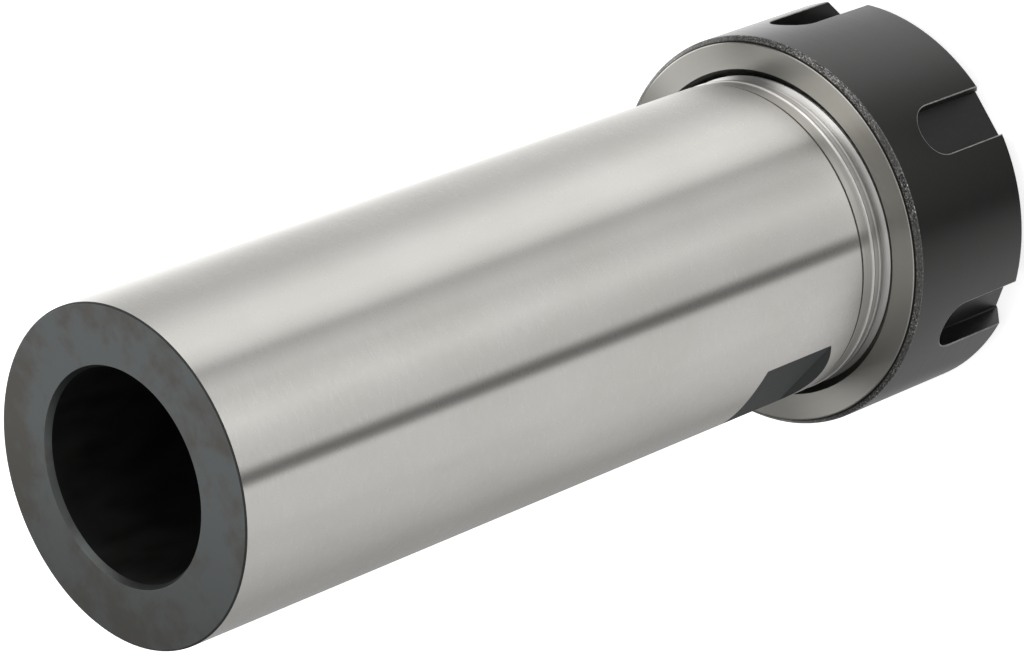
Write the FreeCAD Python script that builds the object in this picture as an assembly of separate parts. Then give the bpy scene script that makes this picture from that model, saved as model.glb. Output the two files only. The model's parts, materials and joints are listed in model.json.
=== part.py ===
import FreeCAD, Part
import os
from math import radians, tan

# Straight-shank collet chuck extension for a size 32 collet (ISO 15488), standing on its clamping nut.
# Millimetres. The axis is Z: the nut's front face is at Z = 0 and the shank's rear end is at the top.
# The two wrench flats face -X and +X.

# Collet seat, which sets the size of the head
collet_dia = 33.0             # largest diameter of the collet
head_wall = 3.5               # from the collet's largest diameter out to the thread's crest
thread_pitch = 1.5
thread_dia = collet_dia + 2 * head_wall          # M40 x 1.5

# Shank
shank_dia = 40.0
shank_length = 102.0          # ground stretch, from the rear end to the turned band
shank_end_chamfer = 0.2
band_length = 2.4             # turned band between the ground stretch and the thread
band_step = 0.25              # how much lower the band's surface is than the shank's

# Wrench flats
flat_depth = 1.0              # 38 mm across the flats
flat_length = 11.7            # floor of a flat
flat_setback = 3.7            # from the ground stretch's front end to the floor
flat_front_run_out = 1.6      # length of the ramp at the floor's front end
flat_rear_run_out = 1.0       # length of the ramp at its rear end

# Bore from the rear end, and the passage that joins it to the socket
bore_dia = 25.0
bore_chamfer = 0.2
passage_dia = 21.5
passage_length = 15.0
drill_point_angle = 118.0

# Collet socket
socket_half_angle = 8.0
socket_depth = 33.0
socket_undersize = 0.4        # the collet's largest diameter stays outside the mouth
socket_chamfer = 0.4

# Thread on the body and in the nut, both turned plain at the pitch diameter
thread_exposed = 2.2          # thread that shows behind the nut
thread_start_chamfer = 1.0
thread_clearance = 0.05       # radial, between the two plain threads
pitch_line_depth = 0.6495     # crest to pitch diameter, as a share of the pitch

# Clamping nut, outside
nut_wall = 5.0                # from the thread's crest out to the nut's rim
nut_dia = thread_dia + 2 * nut_wall
nut_length = 22.5
nut_seat_depth = 13.4         # from the nut's rear face to the shoulder that meets the body
nut_front_bevel = 2.4
nut_rear_bevel = 0.6
countersink_width = 0.93      # from the thread's crest out to the ground rear face

# Spanner slots in the nut's rim
slot_count = 6
slot_width = 6.6
slot_depth = 2.85
slot_length = 15.6
first_slot_angle = 20.0

# Clamping nut, inside
thread_relief_width = 2.4
thread_relief_depth = 0.3
collet_clearance = 0.4        # round the collet's largest diameter
clearance_bore_length = 0.7
lip_thickness = 1.5           # lip that pulls the collet out
lip_reach = 1.6               # from the collet's largest radius in to the lip's middle circle
lip_offset = 0.7              # how far the lip's hole lies off the axis
lip_stock = 0.3               # left inside the lip for the offset hole to cut
flange_groove_width = 1.4
flange_groove_step = 0.3      # groove radius below the collet's largest radius
cone_step = 0.6               # cone's large radius below the collet's largest radius
cone_half_angle = 30.0
front_land = 1.5
front_edge_chamfer = 0.5

# Heights that both pieces share
seat_z = nut_length - nut_seat_depth
thread_top_z = nut_length + thread_exposed
band_top_z = thread_top_z + band_length
rear_z = band_top_z + shank_length
socket_top_z = seat_z + socket_depth
bore_floor_z = socket_top_z + passage_length

# Radii that both pieces share
shank_radius = shank_dia / 2
nut_radius = nut_dia / 2
collet_radius = collet_dia / 2
thread_radius = thread_dia / 2
pitch_radius = (thread_dia - pitch_line_depth * thread_pitch) / 2

cut_margin = 2.0              # how far a cutter stands out past the surface it opens


def revolved(profile):
    """Solid of revolution about Z from (radius, height) points."""
    points = [FreeCAD.Vector(radius, 0, height) for radius, height in profile]
    outline = Part.makePolygon(points + points[:1])
    return Part.Face(outline).revolve(FreeCAD.Vector(0, 0, 0), FreeCAD.Vector(0, 0, 1), 360)


def turned_body():
    """Shank, head, bore, passage and tapered socket, turned in one piece."""
    mouth_radius = collet_radius - socket_undersize / 2
    socket_end_radius = mouth_radius - socket_depth * tan(radians(socket_half_angle))
    bore_radius = bore_dia / 2
    passage_radius = passage_dia / 2
    shoulder_height = abs(bore_radius - passage_radius) / tan(radians(drill_point_angle / 2))
    return revolved([
        (mouth_radius + socket_chamfer, seat_z),
        (pitch_radius - thread_start_chamfer, seat_z),
        (pitch_radius, seat_z + thread_start_chamfer),
        (pitch_radius, thread_top_z),
        (shank_radius - band_step, thread_top_z),
        (shank_radius - band_step, band_top_z),
        (shank_radius, band_top_z),
        (shank_radius, rear_z - shank_end_chamfer),
        (shank_radius - shank_end_chamfer, rear_z),
        (bore_radius + bore_chamfer, rear_z),
        (bore_radius, rear_z - bore_chamfer),
        (bore_radius, bore_floor_z),
        (passage_radius, bore_floor_z - shoulder_height),
        (passage_radius, socket_top_z),
        (socket_end_radius, socket_top_z),
        (mouth_radius, seat_z + socket_chamfer),
    ])


def flat_cutter():
    """Prism that leaves the flat on the +X side, with a ramp at each end of its floor."""
    floor_x = shank_radius - flat_depth
    outer_x = shank_radius + cut_margin
    ramp_share = (outer_x - floor_x) / flat_depth
    floor_bottom = band_top_z + flat_setback
    floor_top = floor_bottom + flat_length
    corners = [
        (floor_x, floor_bottom),
        (outer_x, floor_bottom - flat_front_run_out * ramp_share),
        (outer_x, floor_top + flat_rear_run_out * ramp_share),
        (floor_x, floor_top),
    ]
    points = [FreeCAD.Vector(x, -shank_radius, z) for x, z in corners]
    outline = Part.makePolygon(points + points[:1])
    return Part.Face(outline).extrude(FreeCAD.Vector(0, shank_dia, 0))


def make_chuck_body():
    body = turned_body()
    for angle in (0, 180):
        cutter = flat_cutter()
        cutter.rotate(FreeCAD.Vector(0, 0, 0), FreeCAD.Vector(0, 0, 1), angle)
        body = body.cut(cutter)
    return body


def turned_nut():
    """Nut ring with its thread, relief, lip, collet groove and clamping cone."""
    nut_thread_radius = pitch_radius + thread_clearance
    countersink_radius = thread_radius + countersink_width
    relief_radius = thread_radius + thread_relief_depth
    clearance_radius = collet_radius + collet_clearance
    lip_stock_radius = collet_radius - lip_reach - lip_offset - lip_stock
    groove_radius = collet_radius - flange_groove_step
    lip_top = seat_z - clearance_bore_length
    lip_bottom = lip_top - lip_thickness
    cone_top = lip_bottom - flange_groove_width
    cone_radius = collet_radius - cone_step
    opening_radius = cone_radius - (cone_top - front_land) * tan(radians(cone_half_angle))
    return revolved([
        (opening_radius + front_edge_chamfer, 0),
        (nut_radius - nut_front_bevel, 0),
        (nut_radius, nut_front_bevel),
        (nut_radius, nut_length - nut_rear_bevel),
        (nut_radius - nut_rear_bevel, nut_length),
        (countersink_radius, nut_length),
        (nut_thread_radius, nut_length - (countersink_radius - nut_thread_radius)),
        (nut_thread_radius, seat_z + thread_relief_width),
        (relief_radius, seat_z + thread_relief_width - (relief_radius - nut_thread_radius)),
        (relief_radius, seat_z),
        (clearance_radius, seat_z),
        (clearance_radius, lip_top),
        (lip_stock_radius, lip_top),
        (lip_stock_radius, lip_bottom),
        (groove_radius, lip_bottom),
        (groove_radius, cone_top),
        (cone_radius, cone_top),
        (opening_radius, front_land),
        (opening_radius, front_edge_chamfer),
    ])


def lip_hole():
    """Hole through the lip, off the axis, so that the lip grips the collet's groove on one side."""
    lip_top = seat_z - clearance_bore_length
    lip_bottom = lip_top - lip_thickness
    base = FreeCAD.Vector(lip_offset, 0, lip_bottom)
    return Part.makeCylinder(collet_radius - lip_reach, lip_thickness, base)


def slot_cutter():
    """Spanner slot on the +X side: open at the nut's front, round at its rear end, flat on its floor."""
    half_width = slot_width / 2
    centre_z = slot_length - half_width
    floor_x = nut_radius - slot_depth

    def at(y, z):
        return FreeCAD.Vector(floor_x, y, z)

    edges = [
        Part.LineSegment(at(half_width, centre_z), at(half_width, -cut_margin)).toShape(),
        Part.LineSegment(at(half_width, -cut_margin), at(-half_width, -cut_margin)).toShape(),
        Part.LineSegment(at(-half_width, -cut_margin), at(-half_width, centre_z)).toShape(),
        Part.Arc(at(-half_width, centre_z), at(0, slot_length), at(half_width, centre_z)).toShape(),
    ]
    outline = Part.Wire(edges)
    return Part.Face(outline).extrude(FreeCAD.Vector(slot_depth + cut_margin, 0, 0))


def make_clamping_nut():
    nut = turned_nut().cut(lip_hole())
    for index in range(slot_count):
        cutter = slot_cutter()
        angle = first_slot_angle + index * 360 / slot_count
        cutter.rotate(FreeCAD.Vector(0, 0, 0), FreeCAD.Vector(0, 0, 1), angle)
        nut = nut.cut(cutter)
    return nut


pieces = {
    "chuck_body": make_chuck_body(),
    "clamping_nut": make_clamping_nut(),
}

os.makedirs("parts", exist_ok=True)
for name, shape in pieces.items():
    solid = shape.Solids[0]
    solid.exportStep("parts/" + name + ".step")
    print(name, "valid", solid.isValid(), "solids", len(shape.Solids), "mm3", round(solid.Volume, 1))
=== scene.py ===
# %% [markdown]
# # A collet chuck extension
# The real thing lengthens a milling machine's reach. A steel shank, ground bright on the outside,
# ends in a tapered socket for a collet, and a black slotted nut screws over that end. Here it stands
# on its nut, as it would on a bench, and the camera looks down on it with a strong roll.
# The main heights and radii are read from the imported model, so the pieces fit it as they are made.

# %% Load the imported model
import json
from math import cos, hypot, pi, radians, sin, tan
import bpy
from mathutils import Matrix, Vector


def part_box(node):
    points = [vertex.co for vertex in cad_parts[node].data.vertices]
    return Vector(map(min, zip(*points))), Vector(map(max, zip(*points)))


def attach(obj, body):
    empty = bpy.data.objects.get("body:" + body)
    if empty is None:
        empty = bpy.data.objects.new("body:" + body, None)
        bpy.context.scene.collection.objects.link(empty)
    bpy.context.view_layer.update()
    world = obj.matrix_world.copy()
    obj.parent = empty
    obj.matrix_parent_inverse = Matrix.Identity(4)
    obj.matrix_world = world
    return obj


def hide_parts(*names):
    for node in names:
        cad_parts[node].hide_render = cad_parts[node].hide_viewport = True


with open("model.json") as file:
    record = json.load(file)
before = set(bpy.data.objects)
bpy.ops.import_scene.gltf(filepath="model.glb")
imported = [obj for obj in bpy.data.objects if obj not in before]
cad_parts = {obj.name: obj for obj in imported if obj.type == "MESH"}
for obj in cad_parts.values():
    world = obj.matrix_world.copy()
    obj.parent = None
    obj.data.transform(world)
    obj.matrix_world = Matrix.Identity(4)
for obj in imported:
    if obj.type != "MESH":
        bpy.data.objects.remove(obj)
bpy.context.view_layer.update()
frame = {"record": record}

# %% [markdown]
# ## Sizes
# Lengths of the pieces are in millimetres and become metres where a mesh is made. The main heights
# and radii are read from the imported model. The flats, the slots, the socket and the nut's inside repeat
# sizes of the CAD source. What is finer than CAD was measured or judged in the photo: the neck, the end
# of the thread's last turn, the nut's rear bevel and the broken edges. The thread has the standard form.

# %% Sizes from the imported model
MM = 0.001                                # one millimetre in metres
mounts = {mount["name"]: mount for mount in frame["record"]["mounts"]}
body_low, body_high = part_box("chuck_body")
nut_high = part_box("clamping_nut")[1]
seat_z = body_low.z / MM                  # the body's front end, against the nut's shoulder
rear_z = body_high.z / MM                 # the shank's rear face
nut_top = nut_high.z / MM                 # the nut's rear face
nut_radius = round(nut_high.x / MM)
shank_radius = mounts["shank"]["dims"]["r_mm"]
shank_stretch = mounts["shank"]["dims"]["length_mm"]
bore_radius = mounts["rear_bore"]["dims"]["r_mm"]
bore_stretch = mounts["rear_bore"]["dims"]["length_mm"]
flat_x = mounts["wrench_flat_right"]["pos_m"][0] / MM
flat_z = mounts["wrench_flat_right"]["pos_m"][2] / MM
print("shank radius", shank_radius, "nut radius", nut_radius, "rear face at", round(rear_z, 2))

# %% Sizes of the body
shank_chamfer = 0.2
bore_chamfer = 0.2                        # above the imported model's bore stretch
ground_from = rear_z - shank_chamfer - shank_stretch
bore_floor = rear_z - bore_chamfer - bore_stretch
mouth_flare = (0.4, 0.8)                  # width and depth of the bore's opened edge
band_width = 2.4
band_radii = (shank_radius - 0.2, shank_radius - 0.1)  # at the bead, and at the ground stretch
passage_radius = 10.75
drill_point = 118.0                       # full angle, in degrees
drill_cone_height = (bore_radius - passage_radius) / tan(radians(drill_point / 2))
socket_mouth_radius = 16.3
socket_depth = 33.0
socket_half_angle = 8.0
socket_end_radius = socket_mouth_radius - socket_depth * tan(radians(socket_half_angle))
socket_chamfer = 0.4
flat_length = 11.7
flat_ramps = (1.6, 1.0)                   # in front of the floor, and behind it
body_edge = 0.1                           # broken edges

# %% Sizes of the thread, M40 x 1.5
pitch = 1.5
crest_flat = pitch / 8
thread_depth = 0.5413 * pitch             # five eighths of the sharp profile's height
flank_angle = 30.0
thread_end = ground_from - band_width     # where the turned band begins
crest_azimuth = -134.0                    # the crest passes crest_height here
crest_height = 21.7
thread_gap = 0.08                         # radial, between the nut's thread and the body's
core_step = 0.14                          # from the thread's root in to the core that carries it
core_chamfer = 0.55
ridge_foot = 0.04                         # how far the ridges' ends reach into the core
minor_step = 0.1                          # from the body's root out to the nut's plain bore

# %% Sizes of the neck, from the ground shank down to the thread
parting_depth = 0.2                       # thin groove where the grinding wheel ran out
parting_floor = 0.28
parting_slope = 0.1                       # height over which the band drops into the groove
bead_radius = 0.3                         # rounded bead at the band's front end
bead_z = thread_end + 0.03
bead_foot = 0.36                          # from the bead's middle down to the relief
bead_shoulder = 0.3                       # and up to the band
relief_radius = shank_radius - 0.28       # smooth stretch between the bead and the thread
relief_low = thread_end - 1.13
last_crest_radius = shank_radius - 0.22   # the thread's last turn is turned down
last_crest_low = 22.5
last_crest_slope = 0.32                   # height over which the crest comes down to it
last_crest_end = 0.22                     # and over which it ends at the relief

# %% Sizes of the nut
front_bevel = 2.4
rear_bevel = 0.78
# The bevel's inner corner is rounded through these points: steps outward and up from the corner.
rim_rounding = ((0.06, -0.06), (0.01, -0.025), (-0.05, -0.006), (-0.1, 0))
shade_rim = 0.22                           # the bevel's inner part, darkened with painted shade
shade_rim_fade = 0.06
countersink_radius = shank_radius + 0.93
slot_count = 6
slot_width = 6.6
slot_depth = 2.85
slot_length = 15.6
first_slot = 20.0                         # azimuth of a slot's middle
rim_edge = 0.16                           # broken edges on the rim, those of the slots included
thread_relief = (2.4, 0.3)                # width, and depth below the thread's crest
collet_radius = 16.5
collet_clearance = 0.4
clearance_bore = 0.7
lip_thickness = 1.5
lip_radius = 14.9
lip_offset = 0.7
lip_stock = 0.3                           # left inside the lip for the offset hole to cut
groove_width = 1.4
groove_radius = 16.2
cone_radius = 15.9
cone_half_angle = 30.0
front_land = 1.5
front_chamfer = 0.5

# %% [markdown]
# ## Ways of making a shape
# Both pieces are lathe work, so the first tool is a profile spun round the axis. A profile starts as
# a plane merged to one point, and each further point is extruded from the last, as one would click it
# in. Prisms for the slots and flats are the same kind of profile, filled and extruded. Where a cut
# meets a round surface, a Boolean modifier finds the edge. Edges are broken with a narrow bevel, as on
# the real part, where they catch a thin line of light.

# %% Drawing and spinning
STEPS = 360                               # faces round a turned surface
MARGIN = 2.0                              # how far a cutter stands out past what it cuts
MERGE = 0.002 * MM                        # closer than this, two vertices are one
SHARP_OVER = 20.0                         # degrees between two faces at an edge that is broken


def clear_selection():
    """Operators act on all that is selected, so each piece starts from nothing."""
    bpy.ops.object.select_all(action="DESELECT")


def take(piece):
    """Makes one piece the selected and active one."""
    clear_selection()
    piece.select_set(True)
    bpy.context.view_layer.objects.active = piece


def draw(name, points, closed=True):
    """Outline through the points, in millimetres: one vertex, extruded on to each next point."""
    clear_selection()
    bpy.ops.mesh.primitive_plane_add(size=1)
    outline = bpy.context.object
    outline.name = name
    bpy.ops.object.mode_set(mode="EDIT")
    bpy.ops.mesh.select_mode(type="VERT")
    bpy.ops.mesh.select_all(action="SELECT")
    bpy.ops.mesh.merge(type="CENTER")
    places = [Vector(point) * MM for point in points]
    bpy.ops.transform.translate(value=places[0])
    for last, place in zip(places, places[1:]):
        bpy.ops.mesh.extrude_vertices_move(TRANSFORM_OT_translate={"value": place - last})
    bpy.ops.object.mode_set(mode="OBJECT")
    if closed:
        select_vertices(outline, lambda place, index: index in (0, len(points) - 1))
        bpy.ops.object.mode_set(mode="EDIT")
        bpy.ops.mesh.edge_face_add()
        bpy.ops.object.mode_set(mode="OBJECT")
    return outline


def select_vertices(piece, chosen):
    """Selects the vertices for which chosen(place, index) holds, and nothing else."""
    take(piece)
    bpy.ops.object.mode_set(mode="EDIT")
    bpy.ops.mesh.select_mode(type="VERT")
    bpy.ops.mesh.select_all(action="DESELECT")
    bpy.ops.object.mode_set(mode="OBJECT")
    for vertex in piece.data.vertices:
        vertex.select = chosen(vertex.co, vertex.index)


def turned(name, profile, steps=STEPS):
    """Solid of revolution from (radius, height) points; one that starts on the axis ends there."""
    starts_on_axis = profile[0][0] == 0
    piece = draw(name, [(radius, 0, height) for radius, height in profile], closed=not starts_on_axis)
    take(piece)
    bpy.ops.object.mode_set(mode="EDIT")
    bpy.ops.mesh.select_all(action="SELECT")
    bpy.ops.mesh.spin(steps=steps, angle=2 * pi, center=(0, 0, 0), axis=(0, 0, 1))
    bpy.ops.mesh.select_all(action="SELECT")
    bpy.ops.mesh.remove_doubles(threshold=MERGE / 2)
    bpy.ops.mesh.normals_make_consistent(inside=False)
    bpy.ops.object.mode_set(mode="OBJECT")
    return piece


def prism(name, points, along):
    """Closed outline, filled and extruded along a vector in millimetres."""
    piece = draw(name, points)
    take(piece)
    bpy.ops.object.mode_set(mode="EDIT")
    bpy.ops.mesh.select_all(action="SELECT")
    bpy.ops.mesh.edge_face_add()
    bpy.ops.mesh.extrude_region_move(TRANSFORM_OT_translate={"value": Vector(along) * MM})
    bpy.ops.mesh.select_all(action="SELECT")
    bpy.ops.mesh.normals_make_consistent(inside=False)
    bpy.ops.object.mode_set(mode="OBJECT")
    return piece


def turn_about_axis(piece, angle):
    """Turns a piece's mesh about the axis, in degrees, and keeps its object unturned."""
    piece.data.transform(Matrix.Rotation(radians(angle), 4, "Z"))


def combine(piece, tool, how):
    """Boolean of two closed solids; the tool is used up."""
    take(piece)
    step = piece.modifiers.new("combine", "BOOLEAN")
    step.operation = how
    step.solver = "EXACT"
    step.object = tool
    bpy.ops.object.modifier_apply(modifier=step.name)
    bpy.data.objects.remove(tool)
    bpy.ops.object.mode_set(mode="EDIT")
    bpy.ops.mesh.select_all(action="SELECT")
    bpy.ops.mesh.remove_doubles(threshold=MERGE)
    bpy.ops.object.mode_set(mode="OBJECT")
    return piece


def break_edges(piece, width, beyond=0.0, clamp=True):
    """Small rounding on each sharp edge beyond a radius, as a file or a tumbling drum leaves it.

    With clamp, all the edges stay as narrow as the closest pair of them allows.
    """
    take(piece)
    bpy.ops.object.mode_set(mode="EDIT")
    bpy.ops.mesh.select_mode(type="EDGE")
    bpy.ops.mesh.select_all(action="DESELECT")
    bpy.ops.mesh.edges_select_sharp(sharpness=radians(SHARP_OVER))
    bpy.ops.object.mode_set(mode="OBJECT")
    points = [vertex.co for vertex in piece.data.vertices]
    for edge in piece.data.edges:
        reach = min(hypot(points[end].x, points[end].y) for end in edge.vertices)
        if reach < beyond * MM:
            edge.select = False
    bpy.ops.object.mode_set(mode="EDIT")
    bpy.ops.mesh.bevel(offset=width * MM, segments=2, affect="EDGES", clamp_overlap=clamp)
    bpy.ops.object.mode_set(mode="OBJECT")


def report(piece):
    """Prints what a piece has become, and how many of its edges don't join two faces."""
    take(piece)
    bpy.ops.object.mode_set(mode="EDIT")
    bpy.ops.mesh.select_mode(type="EDGE")
    bpy.ops.mesh.select_all(action="DESELECT")
    bpy.ops.mesh.select_non_manifold()
    bpy.ops.object.mode_set(mode="OBJECT")
    loose = sum(edge.select for edge in piece.data.edges)
    corners = [Vector(corner) / MM for corner in piece.bound_box]
    low = [round(min(corner[axis] for corner in corners), 2) for axis in range(3)]
    high = [round(max(corner[axis] for corner in corners), 2) for axis in range(3)]
    print(piece.name, len(piece.data.polygons), "faces from", low, "to", high, "open edges", loose)


# %% [markdown]
# ## The thread
# A thread is a tooth profile carried round the axis while it climbs one pitch a turn, which is what
# the Screw modifier does. One pitch of the profile makes a rod with no gaps between its turns. Its
# ragged ends are closed on a point, and then it's a solid like any other. The part of it inside a
# turned envelope is kept, because a lathe also turns the blank and its chamfers before it cuts a thread.

# %% A threaded sleeve
THREAD_STEPS = 180


def threaded_sleeve(name, crest, root, envelope):
    """Right-hand thread inside a turned envelope, which is given as (radius, height) points."""
    flank = (crest - root) * tan(radians(flank_angle))
    root_flat = pitch - crest_flat - 2 * flank
    low = min(height for radius, height in envelope)
    high = max(height for radius, height in envelope)
    base = crest_height - (int((crest_height - low) / pitch) + 2) * pitch
    profile = [
        (crest, base - crest_flat / 2),
        (crest, base + crest_flat / 2),
        (root, base + crest_flat / 2 + flank),
        (root, base + crest_flat / 2 + flank + root_flat),
        (crest, base - crest_flat / 2 + pitch),
    ]
    rod = draw(name, [(radius, 0, height) for radius, height in profile], closed=False)
    take(rod)
    step = rod.modifiers.new("helix", "SCREW")
    step.axis = "Z"
    step.angle = 2 * pi
    step.screw_offset = pitch * MM
    step.iterations = int((high - base) / pitch) + 2
    step.steps = THREAD_STEPS
    step.render_steps = THREAD_STEPS
    bpy.ops.object.modifier_apply(modifier=step.name)
    turn_about_axis(rod, crest_azimuth)
    bpy.ops.object.mode_set(mode="EDIT")
    bpy.ops.mesh.select_mode(type="EDGE")
    bpy.ops.mesh.select_all(action="SELECT")
    bpy.ops.mesh.remove_doubles(threshold=MERGE)
    bpy.ops.mesh.select_all(action="DESELECT")
    bpy.ops.mesh.select_non_manifold()
    bpy.ops.mesh.extrude_edges_move()
    bpy.ops.mesh.merge(type="COLLAPSE")
    bpy.ops.mesh.select_all(action="SELECT")
    bpy.ops.mesh.normals_make_consistent(inside=False)
    bpy.ops.object.mode_set(mode="OBJECT")
    report(rod)
    return combine(rod, turned(name + "_envelope", envelope), "INTERSECT")


# %% [markdown]
# ## The body
# The real body is one bar, turned, milled, hardened and then ground. The same order works here: the
# outside is spun as one profile, the two flats are milled off, the socket, passage and bore are cut
# from the inside, the edges are broken, and the thread goes on last, so that its fine ridges don't
# slow the other steps down.

# %% Outside
core_radius = shank_radius - thread_depth - core_step
parting_radius = shank_radius - parting_depth
parting_low = ground_from - parting_floor
bead = []
for angle in range(-60, 61, 10):
    across = cos(radians(angle)) * bead_radius
    bead.append((shank_radius - bead_radius + across, bead_z + sin(radians(angle)) * bead_radius))
body = turned("chuck_body_steel", [
    (0, seat_z),
    (core_radius - core_chamfer, seat_z),
    (core_radius, seat_z + core_chamfer),
    (core_radius, relief_low),
    (relief_radius, relief_low),
    (relief_radius, bead_z - bead_foot),
] + bead + [
    (band_radii[0], bead_z + bead_shoulder),
    (band_radii[1], parting_low - parting_slope),
    (parting_radius, parting_low),
    (parting_radius, ground_from),
    (shank_radius, ground_from),
    (shank_radius, rear_z - shank_chamfer),
    (shank_radius - shank_chamfer, rear_z),
    (0, rear_z),
])
report(body)

# %% Wrench flats
outer_x = shank_radius + MARGIN
ramp_growth = (outer_x - flat_x) / (shank_radius - flat_x)
floor_low = flat_z - flat_length / 2
floor_high = flat_z + flat_length / 2
for side in (0, 180):
    mill = prism("flat_mill", [
        (flat_x, -shank_radius, floor_low),
        (outer_x, -shank_radius, floor_low - flat_ramps[0] * ramp_growth),
        (outer_x, -shank_radius, floor_high + flat_ramps[1] * ramp_growth),
        (flat_x, -shank_radius, floor_high),
    ], (0, 2 * shank_radius, 0))
    turn_about_axis(mill, side)
    combine(body, mill, "DIFFERENCE")
report(body)

# %% Socket, passage and bore
socket_end = seat_z + socket_depth
hollow = turned("hollow", [
    (0, seat_z - MARGIN),
    (socket_mouth_radius + socket_chamfer + MARGIN, seat_z - MARGIN),
    (socket_mouth_radius, seat_z + socket_chamfer),
    (socket_end_radius, socket_end),
    (passage_radius, socket_end),
    (passage_radius, bore_floor - drill_cone_height),
    (bore_radius, bore_floor),
    (bore_radius, rear_z - mouth_flare[1]),
    (bore_radius + mouth_flare[0] * (1 + MARGIN / mouth_flare[1]), rear_z + MARGIN),
    (0, rear_z + MARGIN),
])
combine(body, hollow, "DIFFERENCE")
break_edges(body, body_edge)
report(body)

# %% Thread on the body
sleeve_bore = socket_mouth_radius + 1.2   # inside the wall of the socket
hidden_radius = core_radius - ridge_foot
clear_radius = shank_radius + 0.1         # outside the crests
relief_cover = relief_radius - 0.02       # just under the relief's surface
thread_low = seat_z + 0.5
body_thread = threaded_sleeve("body_thread", shank_radius, shank_radius - thread_depth, [
    (sleeve_bore, thread_low),
    (hidden_radius, thread_low),
    (clear_radius, thread_low + clear_radius - hidden_radius),
    (clear_radius, last_crest_low - last_crest_slope),
    (last_crest_radius, last_crest_low),
    (last_crest_radius, relief_low - last_crest_end),
    (relief_cover, relief_low + 0.01),
    (relief_cover, relief_low + 0.05),
    (sleeve_bore, relief_low + 0.05),
])
combine(body, body_thread, "UNION")
report(body)

# %% [markdown]
# ## The nut
# The nut is turned from bar as well. Its six slots are milled with an end mill as wide as the slot,
# so each is open at the front and ends in a half circle at the back. Inside are a thread, a relief
# groove behind it, an off-centre lip that drags the collet out of the socket when the nut is
# unscrewed, and the 30 degree cone that pushes it in. The edges on its rim are broken last, once no
# more solids are cut from it.

# %% Nut blank
minor_radius = shank_radius - thread_depth + minor_step
lip_top = seat_z - clearance_bore
lip_bottom = lip_top - lip_thickness
cone_top = lip_bottom - groove_width
opening_radius = cone_radius - (cone_top - front_land) * tan(radians(cone_half_angle))
relief_outer = shank_radius + thread_relief[1]
clearance_radius = collet_radius + collet_clearance
lip_blank_radius = lip_radius - lip_offset - lip_stock
rim = [(nut_radius - rear_bevel + across, nut_top + up) for across, up in rim_rounding]
nut = turned("clamping_nut_black", [
    (opening_radius + front_chamfer, 0),
    (nut_radius - front_bevel, 0),
    (nut_radius, front_bevel),
    (nut_radius, nut_top - rear_bevel),
] + rim + [
    (countersink_radius, nut_top),
    (minor_radius, nut_top - countersink_radius + minor_radius),
    (minor_radius, seat_z + thread_relief[0] + relief_outer - minor_radius),
    (relief_outer, seat_z + thread_relief[0]),
    (relief_outer, seat_z),
    (clearance_radius, seat_z),
    (clearance_radius, lip_top),
    (lip_blank_radius, lip_top),
    (lip_blank_radius, lip_bottom),
    (groove_radius, lip_bottom),
    (groove_radius, cone_top),
    (cone_radius, cone_top),
    (opening_radius, front_land),
    (opening_radius, front_chamfer),
])
report(nut)

# %% Extraction lip and spanner slots
ARC_STEPS = 24                            # edges round a slot's end
lip_margin = 0.5                          # less than the room above and below the lip
lip_cutter = turned("lip_cutter", [
    (0, lip_bottom - lip_margin),
    (lip_radius, lip_bottom - lip_margin),
    (lip_radius, lip_top + lip_margin),
    (0, lip_top + lip_margin),
], steps=STEPS // 2)
lip_cutter.data.transform(Matrix.Translation((lip_offset * MM, 0, 0)))
combine(nut, lip_cutter, "DIFFERENCE")

half_slot = slot_width / 2
slot_centre = slot_length - half_slot
slot_floor = nut_radius - slot_depth
slot_outline = [(slot_floor, -half_slot, -MARGIN), (slot_floor, half_slot, -MARGIN)]
for step in range(ARC_STEPS + 1):
    angle = pi * step / ARC_STEPS
    slot_outline.append((slot_floor, half_slot * cos(angle), slot_centre + half_slot * sin(angle)))
for index in range(slot_count):
    end_mill = prism("end_mill", slot_outline, (slot_depth + MARGIN, 0, 0))
    turn_about_axis(end_mill, first_slot + index * 360 / slot_count)
    combine(nut, end_mill, "DIFFERENCE")
report(nut)

# %% Thread in the nut
tap_bore = shank_radius - 2.5             # in the air inside the nut
tap_outside = nut_radius - 1              # outside the tap's crests
tap_low = seat_z + thread_relief[0] / 2
tap_high = nut_top + 1
tap_root_radius = minor_radius - 0.19     # so that the nut's own crests stay cylindrical
nut_tap = threaded_sleeve("nut_tap", shank_radius + thread_gap, tap_root_radius, [
    (tap_bore, tap_low),
    (tap_outside, tap_low),
    (tap_outside, tap_high),
    (tap_bore, tap_high),
])
combine(nut, nut_tap, "DIFFERENCE")
break_edges(nut, rim_edge, beyond=nut_radius - 0.01, clamp=False)
report(nut)

# %% [markdown]
# ## Shading
# Turned surfaces are shaded smooth and real edges stay sharp. The body's limit is just above the 10
# degree steps of its bead, which keeps the edges round its flats crisp. On the nut the wide faces lead
# the shading, so that the rounding beside a slot doesn't bend the rim's reflections.

# %% Smooth shading
BODY_SMOOTH = 10.5                        # degrees between two faces, up to which they shade as one
NUT_SMOOTH = 25
for piece, smooth_up_to in ((body, BODY_SMOOTH), (nut, NUT_SMOOTH)):
    take(piece)
    bpy.ops.object.shade_smooth_by_angle(angle=radians(smooth_up_to))
step = nut.modifiers.new("large_faces_lead", "WEIGHTED_NORMAL")
step.keep_sharp = True
step.weight = 100
bpy.ops.object.modifier_apply(modifier=step.name)

# %% [markdown]
# ## Ways of making a finish
# Each finish starts from what the metal is and how its surface was made. Colours are written as on
# screen and turned to linear by one function. Grinding and turning leave fine lines round the axis,
# so their noise is long round the piece and short along it, in real millimetres. The same lines spread
# a reflection along the axis and keep it sharp round it, which is what anisotropy is for.

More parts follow.
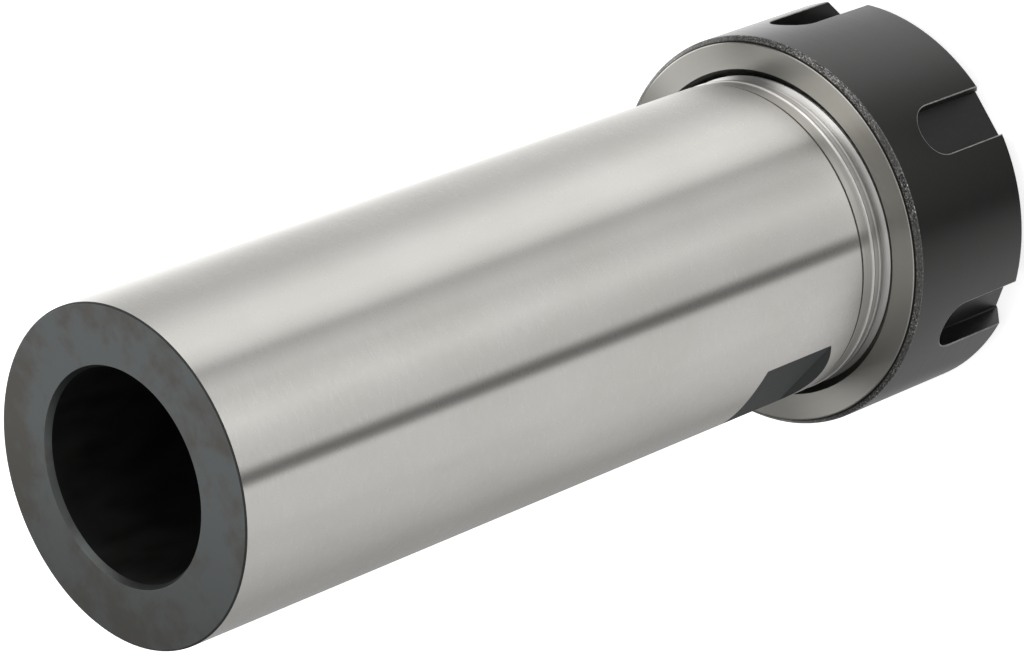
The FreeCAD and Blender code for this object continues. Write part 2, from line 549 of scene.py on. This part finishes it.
# %% Node tools
def linear(code):
    """Linear colour from an on-screen hex code."""
    values = [int(code[place:place + 2], 16) / 255 for place in (1, 3, 5)]
    return tuple(v / 12.92 if v <= 0.04045 else ((v + 0.055) / 1.055) ** 2.4 for v in values) + (1,)


def add(tree, kind, inputs=None, **settings):
    """Adds a node with its settings; an input is a value, or another node's output to link."""
    node = tree.nodes.new(kind)
    for name, value in settings.items():
        setattr(node, name, value)
    for socket, value in (inputs or {}).items():
        if isinstance(value, bpy.types.NodeSocket):
            tree.links.new(value, node.inputs[socket])
        else:
            node.inputs[socket].default_value = value
    return node


def new_finish(name):
    """Empty material, its tree and the object coordinates that its patterns follow."""
    material = bpy.data.materials.new(name)
    material.use_nodes = True
    tree = material.node_tree
    tree.nodes.clear()
    return material, tree, add(tree, "ShaderNodeTexCoord").outputs["Object"]


def grain(tree, place, size, detail=2.0, roughness=0.5):
    """Noise whose grains have the given size in millimetres along X, Y and Z."""
    scale = [1 / (side * MM) for side in size]
    mapped = add(tree, "ShaderNodeMapping", {"Vector": place, "Scale": scale})
    noise = add(tree, "ShaderNodeTexNoise", {
        "Vector": mapped.outputs["Vector"], "Scale": 1.0, "Detail": detail, "Roughness": roughness,
    })
    return noise.outputs["Fac"]


def between(tree, factor, low, high, from_low=0.3, from_high=0.7):
    """Rescales a noise, whose values lie mostly between 0.3 and 0.7, to a range."""
    return add(tree, "ShaderNodeMapRange", {
        "Value": factor, "From Min": from_low, "From Max": from_high, "To Min": low, "To Max": high,
    }).outputs["Result"]


def blend_colours(tree, factor, first, second):
    """Mixes two colours, each a hex code or another node's output."""
    mix = add(tree, "ShaderNodeMix", data_type="RGBA")
    tree.links.new(factor, mix.inputs[0])
    for socket, colour in ((6, first), (7, second)):
        if isinstance(colour, str):
            mix.inputs[socket].default_value = linear(colour)
        else:
            tree.links.new(colour, mix.inputs[socket])
    return mix.outputs[2]


def lathe_direction(tree, place):
    """Direction round the axis at each point, which lathe and grinder marks follow."""
    axis = (0, 0, 1)
    return add(tree, "ShaderNodeVectorMath", {0: axis, 1: place}, operation="CROSS_PRODUCT").outputs[0]


def rings(tree, place):
    """Place for a grain on an end face: distance from the axis first, so that marks run round it."""
    parts = add(tree, "ShaderNodeSeparateXYZ", {0: place}).outputs
    distance = add(tree, "ShaderNodeVectorMath", {0: place}, operation="LENGTH").outputs["Value"]
    turned_round = {"X": distance, "Y": parts["X"], "Z": parts["Y"]}
    return add(tree, "ShaderNodeCombineXYZ", turned_round).outputs[0]


def surface(tree, colour, roughness, height=None, depth=0.0, tangent=None, **constants):
    """Principled shader with a bump of the given depth in millimetres, wired to the output."""
    inputs = {"Base Color": colour, "Roughness": roughness}
    inputs.update({name.replace("_", " "): value for name, value in constants.items()})
    if height is not None:
        bump = add(tree, "ShaderNodeBump", {"Height": height, "Distance": depth * MM, "Strength": 1.0})
        inputs["Normal"] = bump.outputs["Normal"]
    if tangent is not None:
        inputs["Tangent"] = tangent
    shader = add(tree, "ShaderNodeBsdfPrincipled", inputs)
    add(tree, "ShaderNodeOutputMaterial", {"Surface": shader.outputs[0]})


# %% [markdown]
# ## Finishes of the body
# The shank is hardened tool steel, ground between centres: bright, slightly warm, with fine lines
# round it. What the grinding wheel doesn't reach keeps the dark skin of hardening and blackening:
# the rear face, the bore and the floors of the flats. Painted shade darkens the rear face's skin towards
# one side.
# The band is turned, the thread is freshly cut and bright, the rounded bead between them is polished,
# and the thin groove between the band and the ground stretch is darkened with painted shade.

# %% Ground tool steel
ground, tree, place = new_finish("tool_steel_ground")
marks = grain(tree, place, (1.2, 1.2, 0.2), detail=3)
clouds = grain(tree, place, (9, 9, 14), detail=3)
surface(
    tree,
    blend_colours(tree, between(tree, clouds, 0, 1), "#c4c2bd", "#cac8c4"),
    between(tree, marks, 0.27, 0.3),
    height=marks,
    depth=0.0001,
    tangent=lathe_direction(tree, place),
    Metallic=1.0,
    Anisotropic=1.0,
    Anisotropic_Rotation=0.25,
)

# %% Turned tool steel
turned_steel, tree, place = new_finish("tool_steel_turned")
marks = grain(tree, place, (9, 9, 0.12), detail=3)
surface(
    tree,
    blend_colours(tree, between(tree, marks, 0, 1), "#bdbab5", "#d0ceca"),
    between(tree, marks, 0.28, 0.34),
    height=marks,
    depth=0.0015,
    tangent=lathe_direction(tree, place),
    Metallic=1.0,
    Anisotropic=1.0,
    Anisotropic_Rotation=0.25,
)

# %% Hardened skin, with painted shade towards one side
hardened, tree, place = new_finish("tool_steel_hardened_dark")
mottle = grain(tree, place, (6, 6, 6), detail=5, roughness=0.6)
pits = grain(tree, place, (0.6, 0.6, 0.6), detail=2)
shade_side = (-0.6, 0.8, 0)                # direction towards which painted shade darkens the skin
shade_stretch = (-2 * MM, 24 * MM)         # where along that direction
shade_share = 0.6
# Painted shade: the skin is darkened towards one side, where less light reaches it.
shade_along = add(tree, "ShaderNodeVectorMath", {0: place, 1: shade_side}, operation="DOT_PRODUCT")
painted_shade = between(tree, shade_along.outputs["Value"], 0, shade_share, *shade_stretch)
skin = blend_colours(tree, between(tree, mottle, 0, 1, 0.4, 0.56), "#696763", "#727676")
surface(
    tree,
    blend_colours(tree, painted_shade, skin, "#464745"),
    between(tree, mottle, 0.44, 0.42),
    height=pits,
    depth=0.002,
    Metallic=1.0,
)

# %% Blackened flat
blackened_flat, tree, place = new_finish("tool_steel_milled_blackened")
marks = grain(tree, place, (3, 0.4, 3), detail=3)
surface(
    tree,
    blend_colours(tree, between(tree, marks, 0, 1), "#2e3131", "#3a3d3c"),
    between(tree, marks, 0.6, 0.7),
    height=marks,
    depth=0.002,
    IOR=1.35,
)

# %% Blackened bore
blackened, tree, place = new_finish("tool_steel_blackened_bore")
mottle = grain(tree, place, (2.5, 2.5, 6), detail=3)
surface(
    tree,
    blend_colours(tree, between(tree, mottle, 0, 1), "#121211", "#1c1c1b"),
    between(tree, mottle, 0.45, 0.6),
    IOR=1.4,
)

# %% Polished bead
polished_bead, tree, place = new_finish("steel_edge_polished")
nicks = grain(tree, place, (1.2, 1.2, 0.3), detail=2)
surface(
    tree,
    blend_colours(tree, between(tree, nicks, 0, 1), "#dedcd9", "#efedea"),
    between(tree, nicks, 0.4, 0.32),
    Metallic=1.0,
)

# %% Painted shade in a groove
groove_painted_shade, tree, place = new_finish("oil_residue_dark")
shade_mottle = grain(tree, place, (0.8, 0.8, 0.3), detail=2)
surface(
    tree,
    blend_colours(tree, between(tree, shade_mottle, 0, 1), "#43403c", "#5c5852"),
    between(tree, shade_mottle, 0.5, 0.7),
)

# %% Cut thread
cut_thread, tree, place = new_finish("tool_steel_thread_cut")
marks = grain(tree, place, (9, 9, 0.12), detail=3)
surface(
    tree,
    blend_colours(tree, between(tree, marks, 0, 1), "#e0deda", "#efedea"),
    between(tree, marks, 0.3, 0.36),
    tangent=lathe_direction(tree, place),
    Metallic=1.0,
    Anisotropic=1.0,
    Anisotropic_Rotation=0.25,
)

# %% [markdown]
# ## Finishes of the nut
# The nut is black oxide over fine turning: a deep satin black that only shines where it is seen edge
# on. Handling wears it thin on the slots' edges, and a painted highlight lightens them further. Its
# rear face was ground after blackening, so it is bright. The chamfer next to it is rough, with torn spots
# that carry painted glints, calmer stretches and a rim of painted shade.

# %% Black oxide
black_oxide, tree, place = new_finish("steel_black_oxide")
marks = grain(tree, place, (6, 6, 0.2), detail=2)
pores = grain(tree, place, (0.35, 0.35, 0.35), detail=2)
surface(
    tree,
    blend_colours(tree, between(tree, pores, 0, 1), "#0b0b0b", "#121211"),
    between(tree, marks, 0.28, 0.33),
    height=pores,
    depth=0.002,
    IOR=1.4,
    Specular_Tint=(1.0, 0.96, 0.93, 1.0),
)

# %% Black oxide worn thin, lightened further by a painted highlight
wear_and_highlight_black, tree, place = new_finish("steel_black_oxide_worn")
wear_and_highlight_noise = grain(tree, place, (1.5, 1.5, 1.5), detail=3)
surface(
    tree,
    blend_colours(tree, between(tree, wear_and_highlight_noise, 0, 1), "#7d7b77", "#a6a39e"),
    between(tree, wear_and_highlight_noise, 0.5, 0.4),
    Metallic=0.2,
)

# %% Milled and blackened slots
slot_black, tree, place = new_finish("steel_black_oxide_milled")
marks = grain(tree, place, (0.5, 0.5, 1.6), detail=2)
surface(
    tree,
    blend_colours(tree, between(tree, marks, 0, 1), "#161514", "#1f1e1d"),
    between(tree, marks, 0.36, 0.44),
    height=marks,
    depth=0.003,
    IOR=1.4,
)

# %% Rough blackened chamfer, with painted glints and a rim of painted shade
rough_black, tree, place = new_finish("steel_black_oxide_rough")
grit = grain(tree, place, (0.3, 0.3, 0.13), detail=4, roughness=0.7)
patches = grain(tree, place, (5, 5, 5), detail=2)
along_axis = add(tree, "ShaderNodeSeparateXYZ", {0: place}).outputs["Z"]
# Painted shade: a dark line along the bevel's inner corner, next to the rear face.
rim_low = nut_top - shade_rim - shade_rim_fade
painted_rim_shade = between(tree, along_axis, 0, 1, rim_low * MM, (rim_low + shade_rim_fade) * MM)
torn = blend_colours(tree, between(tree, grit, 0, 1, 0.4, 0.64), "#232322", "#8f8e8c")
# Painted highlights: the grit's highest values turn near white, as glints.
painted_glints = blend_colours(tree, between(tree, grit, 0, 1, 0.61, 0.65), torn, "#e3e2df")
stretches = grain(tree, place, (9, 9, 9), detail=1)
skin = blend_colours(tree, between(tree, stretches, 0.4, 1, 0.4, 0.5), "#5d5c5a", painted_glints)
surface(
    tree,
    blend_colours(tree, painted_rim_shade, skin, "#1d1c1b"),
    between(tree, patches, 0.32, 0.5),
    height=grit,
    depth=0.012,
    Metallic=0.8,
)

# %% Ground rear face
ground_face, tree, place = new_finish("steel_ground_face")
marks = grain(tree, rings(tree, place), (0.12, 5, 5), detail=2)
surface(
    tree,
    blend_colours(tree, between(tree, marks, 0, 1), "#b1afa9", "#b3b1ab"),
    between(tree, marks, 0.274, 0.282),
    tangent=lathe_direction(tree, place),
    Metallic=1.0,
    Anisotropic=0.94,
    Anisotropic_Rotation=0.25,
)

# %% [markdown]
# ## Which face gets which finish
# Each face's radius, height and normal say which surface it belongs to, as a machinist would read
# it from a drawing. The first finish is the default and the later ones take what their test picks.
# A test looks at the middle of a face, so its limits leave a little room.

# %% Give the finishes
def give_finishes(piece, default, *choices):
    """Gives each face the last finish whose test(radius, height, normal, centre) holds."""
    piece.data.materials.clear()
    for finish in [default] + [choice[0] for choice in choices]:
        piece.data.materials.append(finish)
    for face in piece.data.polygons:
        centre = face.center / MM
        radius = hypot(centre.x, centre.y)
        face.material_index = 0
        for index, (finish, test) in enumerate(choices, 1):
            if test(radius, centre.z, face.normal, centre):
                face.material_index = index
    counts = [0] * (len(choices) + 1)
    for face in piece.data.polygons:
        counts[face.material_index] += 1
    print(piece.name, "faces by finish", counts)


def on_flat(radius, height, normal, centre):
    """Floor or ramp of a wrench flat, but not its broken outer edge."""
    in_stretch = floor_low - flat_ramps[0] < height < floor_high + flat_ramps[1]
    return in_stretch and radius < shank_radius - 0.06 and abs(normal.x) > 0.6


def on_bead(radius, height, normal, centre):
    """Rounded bead at the front end of the band."""
    return abs(height - bead_z) < bead_radius and radius > relief_radius + 0.15


def in_parting_groove(radius, height, normal, centre):
    """Thin groove between the ground shank and the band."""
    return parting_low - 0.12 < height < ground_from and radius < shank_radius - 0.06


def in_slot(radius, height, normal, centre):
    """Floor or wall of a spanner slot."""
    below_rim = slot_floor - 0.1 < radius < nut_radius - 0.05 and height < slot_length + 0.2
    on_front_bevel = height < front_bevel + 0.1 and normal.z < -0.5
    return below_rim and not on_front_bevel


def on_slot_edge(radius, height, normal, centre):
    """Broken edge round a spanner slot, between the nut's rim and the slot's wall."""
    outward = (normal.x * centre.x + normal.y * centre.y) / radius
    beside_slot = radius > nut_radius - 0.27 and front_bevel + 0.2 < height < slot_length + 0.5
    return beside_slot and 0.2 < outward < 0.975


def on_mouth_flare(radius, height, normal, centre):
    """Opened edge of the rear bore."""
    return height > rear_z - mouth_flare[1] and radius < bore_radius + 0.5 and normal.z > 0.2


def on_rear_rim(radius, height, normal, centre):
    """Broken outer edge of the rear face."""
    return height > rear_z - shank_chamfer and radius > shank_radius - 0.16 and normal.z < 0.95


give_finishes(
    body,
    ground,
    (turned_steel, lambda r, z, n, c: z < ground_from - 0.02 and r > socket_mouth_radius + 0.5),
    (cut_thread, lambda r, z, n, c: seat_z + 0.1 < z < bead_z - 0.2 and r > core_radius - 0.6),
    (polished_bead, on_bead),
    # the parting groove is darkened with painted shade
    (groove_painted_shade, in_parting_groove),
    (blackened, lambda r, z, n, c: r < bore_radius + 0.05 and z > socket_end - 0.1),
    (hardened, lambda r, z, n, c: z > rear_z - shank_chamfer + 0.02 and r > bore_radius),
    (hardened, on_mouth_flare),
    (blackened_flat, on_rear_rim),
    (blackened_flat, on_flat),
)
give_finishes(
    nut,
    black_oxide,
    (slot_black, in_slot),
    # slot edges: worn thin, and lighter with a painted highlight
    (wear_and_highlight_black, on_slot_edge),
    (rough_black, lambda r, z, n, c: z > nut_top - rear_bevel - 0.12 and r > nut_radius - rear_bevel),
    (ground_face, lambda r, z, n, c: z > nut_top - 0.09 and countersink_radius < r < nut_radius - 0.5),
    (ground_face, lambda r, z, n, c: z < cone_top + 0.1 and r < cone_radius + 0.1 and z > front_chamfer),
)

# %% Join the frame
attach(body, "body")
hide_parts("chuck_body")
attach(nut, "nut")
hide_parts("clamping_nut")

# %% [markdown]
# ## Camera
# A long lens from just over half a metre. Its place, dip, roll and focal length were fitted to the
# photo's outlines. It looks at a point close to the axis, and the roll is strong.

# %% Camera
camera_target = Vector((0.28, -0.10, 67.34)) * MM
camera_distance = 562.84 * MM
camera_heading = radians(70.328)          # compass direction that it looks in, from +X towards +Y
camera_dip = radians(41.965)
camera_roll = radians(110.906)
look = Vector((
    cos(camera_dip) * cos(camera_heading),
    cos(camera_dip) * sin(camera_heading),
    -sin(camera_dip),
))
level_right = look.cross(Vector((0, 0, 1))).normalized()
level_up = level_right.cross(look)
camera_right = cos(camera_roll) * level_right - sin(camera_roll) * level_up
camera_up = cos(camera_roll) * level_up + sin(camera_roll) * level_right
camera_data = bpy.data.cameras.new("camera")
camera_data.sensor_width = 36
camera_data.lens = 167.35
camera = bpy.data.objects.new("camera", camera_data)
camera.matrix_world = (
    Matrix.Translation(camera_target - look * camera_distance)
    @ Matrix((camera_right, camera_up, -look)).transposed().to_4x4()
)
bpy.context.scene.collection.objects.link(camera)
bpy.context.scene.camera = camera
bpy.context.scene.view_settings.view_transform = "Standard"

# %% [markdown]
# ## Floor and light
# A white sheet for a floor, a softbox overhead and a light tent round both. The tent's soft panels
# differ in strength, with gaps between them that draw the dark lines on polished metal. They hang in
# upright planes that all meet at the point of the tent behind the object, so that each one draws a
# straight line along the shank. The tent is the world, so that its panels reach below the horizon,
# where the reflections off an upright shank look; the sheet is kept out of those reflections. It
# glows a little, so that it is seen as white.
#
# The panels' strengths weren't chosen by eye. They are the result of a least-squares fit to brightness
# read from the photo along the shank, the nut's rim and the nut's rear face, with shapes and finishes
# held fixed. Each one is a strength of light that the fit solved for. So this light belongs to that one
# photo, and isn't a plain studio set.

# %% Floor
clear_selection()
FLOOR_SIZE = 6                            # metres
FLOOR_GLOW = 0.75                         # strength of the sheet's glow
bpy.ops.mesh.primitive_plane_add(size=FLOOR_SIZE, location=(0, 0, 0))
floor = bpy.context.object
floor.name = "floor"
sheet, tree, place = new_finish("paper_white_matt")
fibres = grain(tree, place, (40, 40, 40))
paper = add(tree, "ShaderNodeBsdfDiffuse", {"Color": blend_colours(tree, fibres, "#f2f2f1", "#f4f4f4")})
rays = add(tree, "ShaderNodeLightPath").outputs
seen = rays["Is Camera Ray"]
for kind in ("Is Glossy Ray", "Is Transmission Ray"):
    seen = add(tree, "ShaderNodeMath", {0: seen, 1: rays[kind]}, operation="ADD").outputs[0]
glow_strength = add(tree, "ShaderNodeMath", {0: seen, 1: FLOOR_GLOW}, operation="MULTIPLY")
glow = add(tree, "ShaderNodeEmission", {"Color": (1, 1, 1, 1), "Strength": glow_strength.outputs[0]})
lit = add(tree, "ShaderNodeAddShader", {0: paper.outputs[0], 1: glow.outputs[0]})
add(tree, "ShaderNodeOutputMaterial", {"Surface": lit.outputs[0]})
floor.data.materials.append(sheet)
floor.visible_glossy = False

# %% Softbox overhead
softbox_data = bpy.data.lights.new("softbox", "AREA")
softbox_data.shape = "SQUARE"
softbox_data.size = 0.9
softbox_data.energy = 1.5
softbox = bpy.data.objects.new("softbox", softbox_data)
softbox.location = (0, 0, 1.1)
bpy.context.scene.collection.objects.link(softbox)

# %% Light tent
TENT_STRENGTH = 3.2
# Heights are the upright part of a direction of length 1: -1 is straight down and 0 the horizon.
LOWEST_TO_LOW = (-0.76, -0.66)
LOW_TO_HIGH = (-0.42, 0.09)
# Each pair is a compass direction from the meeting point and a share of the tent's strength, as the
# fit gave it.
lowest_panels = [
    (-180, 0.087), (-170, 0.237), (-160, 0.359), (-152, 0.453), (-145, 0.495), (-138, 0.390),
    (-132, 0.291), (-128, 0.108), (-126.4, 0.000), (-123, 0.000), (-114, 0.000), (-102, 0.000),
    (-96, 0.005), (-90, 0.284), (-84, 0.526), (-76, 0.610), (-66, 0.610), (-58, 0.582),
    (-53, 0.578), (-48, 0.623), (-42, 0.747), (-36, 0.863), (-30, 0.880), (-22, 0.798),
    (-10, 0.606), (6, 0.439), (40, 0.301), (100, 0.266), (140, 0.251), (160, 0.230),
    (172, 0.204), (180, 0.087),
]
low_panels = [
    (-180, 0.188), (-168, 0.229), (-156, 0.237), (-146, 0.204), (-136, 0.277), (-131, 0.326),
    (-128, 0.471), (-127, 0.100), (-122.8, 0.036), (-121.8, 0.513), (-118, 0.474), (-112, 0.539),
    (-106, 0.645), (-100, 0.558), (-94, 0.441), (-89, 0.178), (-86, 0.000), (-82, 0.194),
    (-76, 0.283), (-68, 0.298), (-60, 0.211), (-54, 0.215), (-48, 0.254), (-42, 0.301),
    (-36, 0.368), (-28, 0.421), (-16, 0.478), (0, 0.409), (40, 0.305), (130, 0.223),
    (160, 0.178), (180, 0.188),
]
high_panels = [
    (-180, 0.037), (-168, 0.087), (-158, 0.126), (-146, 0.164), (-136, 0.197), (-128, 0.185),
    (-123, 0.083), (-117, 0.145), (-108, 0.148), (-97, 0.152), (-90, 0.218), (-86, 0.330),
    (-82, 0.489), (-76, 0.494), (-70, 0.435), (-64, 0.366), (-60, 0.404), (-56, 0.217),
    (-50, 0.037), (-44, 0.037), (-36, 0.037), (-28, 0.492), (-20, 0.506), (-12, 0.632),
    (-4, 0.962), (4, 0.037), (30, 0.037), (60, 0.370), (100, 0.037), (140, 0.037),
    (165, 0.037), (180, 0.037),
]
world = bpy.data.worlds.new("light_tent")
bpy.context.scene.world = world
world.use_nodes = True
tree = world.node_tree
tree.nodes.clear()
direction = add(tree, "ShaderNodeTexCoord").outputs["Generated"]
away = camera.matrix_world.translation - Vector((0, 0, nut_top * MM))
from_meeting_point = add(tree, "ShaderNodeVectorMath", {
    0: direction, 1: tuple(away.normalized()),
}, operation="ADD")
across = add(tree, "ShaderNodeSeparateXYZ", {0: from_meeting_point.outputs[0]})
compass = add(tree, "ShaderNodeMath", {
    0: across.outputs["Y"], 1: across.outputs["X"],
}, operation="ARCTAN2")
turn_share = add(tree, "ShaderNodeMapRange", {
    "Value": compass.outputs[0], "From Min": -pi, "From Max": pi,
})
height = add(tree, "ShaderNodeSeparateXYZ", {0: direction}).outputs["Z"]


def row_of_panels(panels):
    """Colour ramp round the compass with one stop for each panel's edge."""
    node = add(tree, "ShaderNodeValToRGB", {"Fac": turn_share.outputs["Result"]})
    stops = node.color_ramp.elements
    while len(stops) < len(panels):
        stops.new(0.5)
    for stop, (compass_direction, share) in zip(stops, panels):
        stop.position = (compass_direction + 180) / 360
        stop.color = (share, share, share, 1)
    return node.outputs["Color"]


def above(lower, upper, from_height, to_height):
    """One row of panels above another, with a soft change between the two heights."""
    share = add(tree, "ShaderNodeMapRange", {
        "Value": height, "From Min": from_height, "From Max": to_height,
    }, interpolation_type="SMOOTHSTEP")
    return blend_colours(tree, share.outputs["Result"], lower, upper)


lower_rows = above(row_of_panels(lowest_panels), row_of_panels(low_panels), *LOWEST_TO_LOW)
panels = above(lower_rows, row_of_panels(high_panels), *LOW_TO_HIGH)
tent = add(tree, "ShaderNodeBackground", {"Color": panels, "Strength": TENT_STRENGTH})
add(tree, "ShaderNodeOutputWorld", {"Surface": tent.outputs[0]})
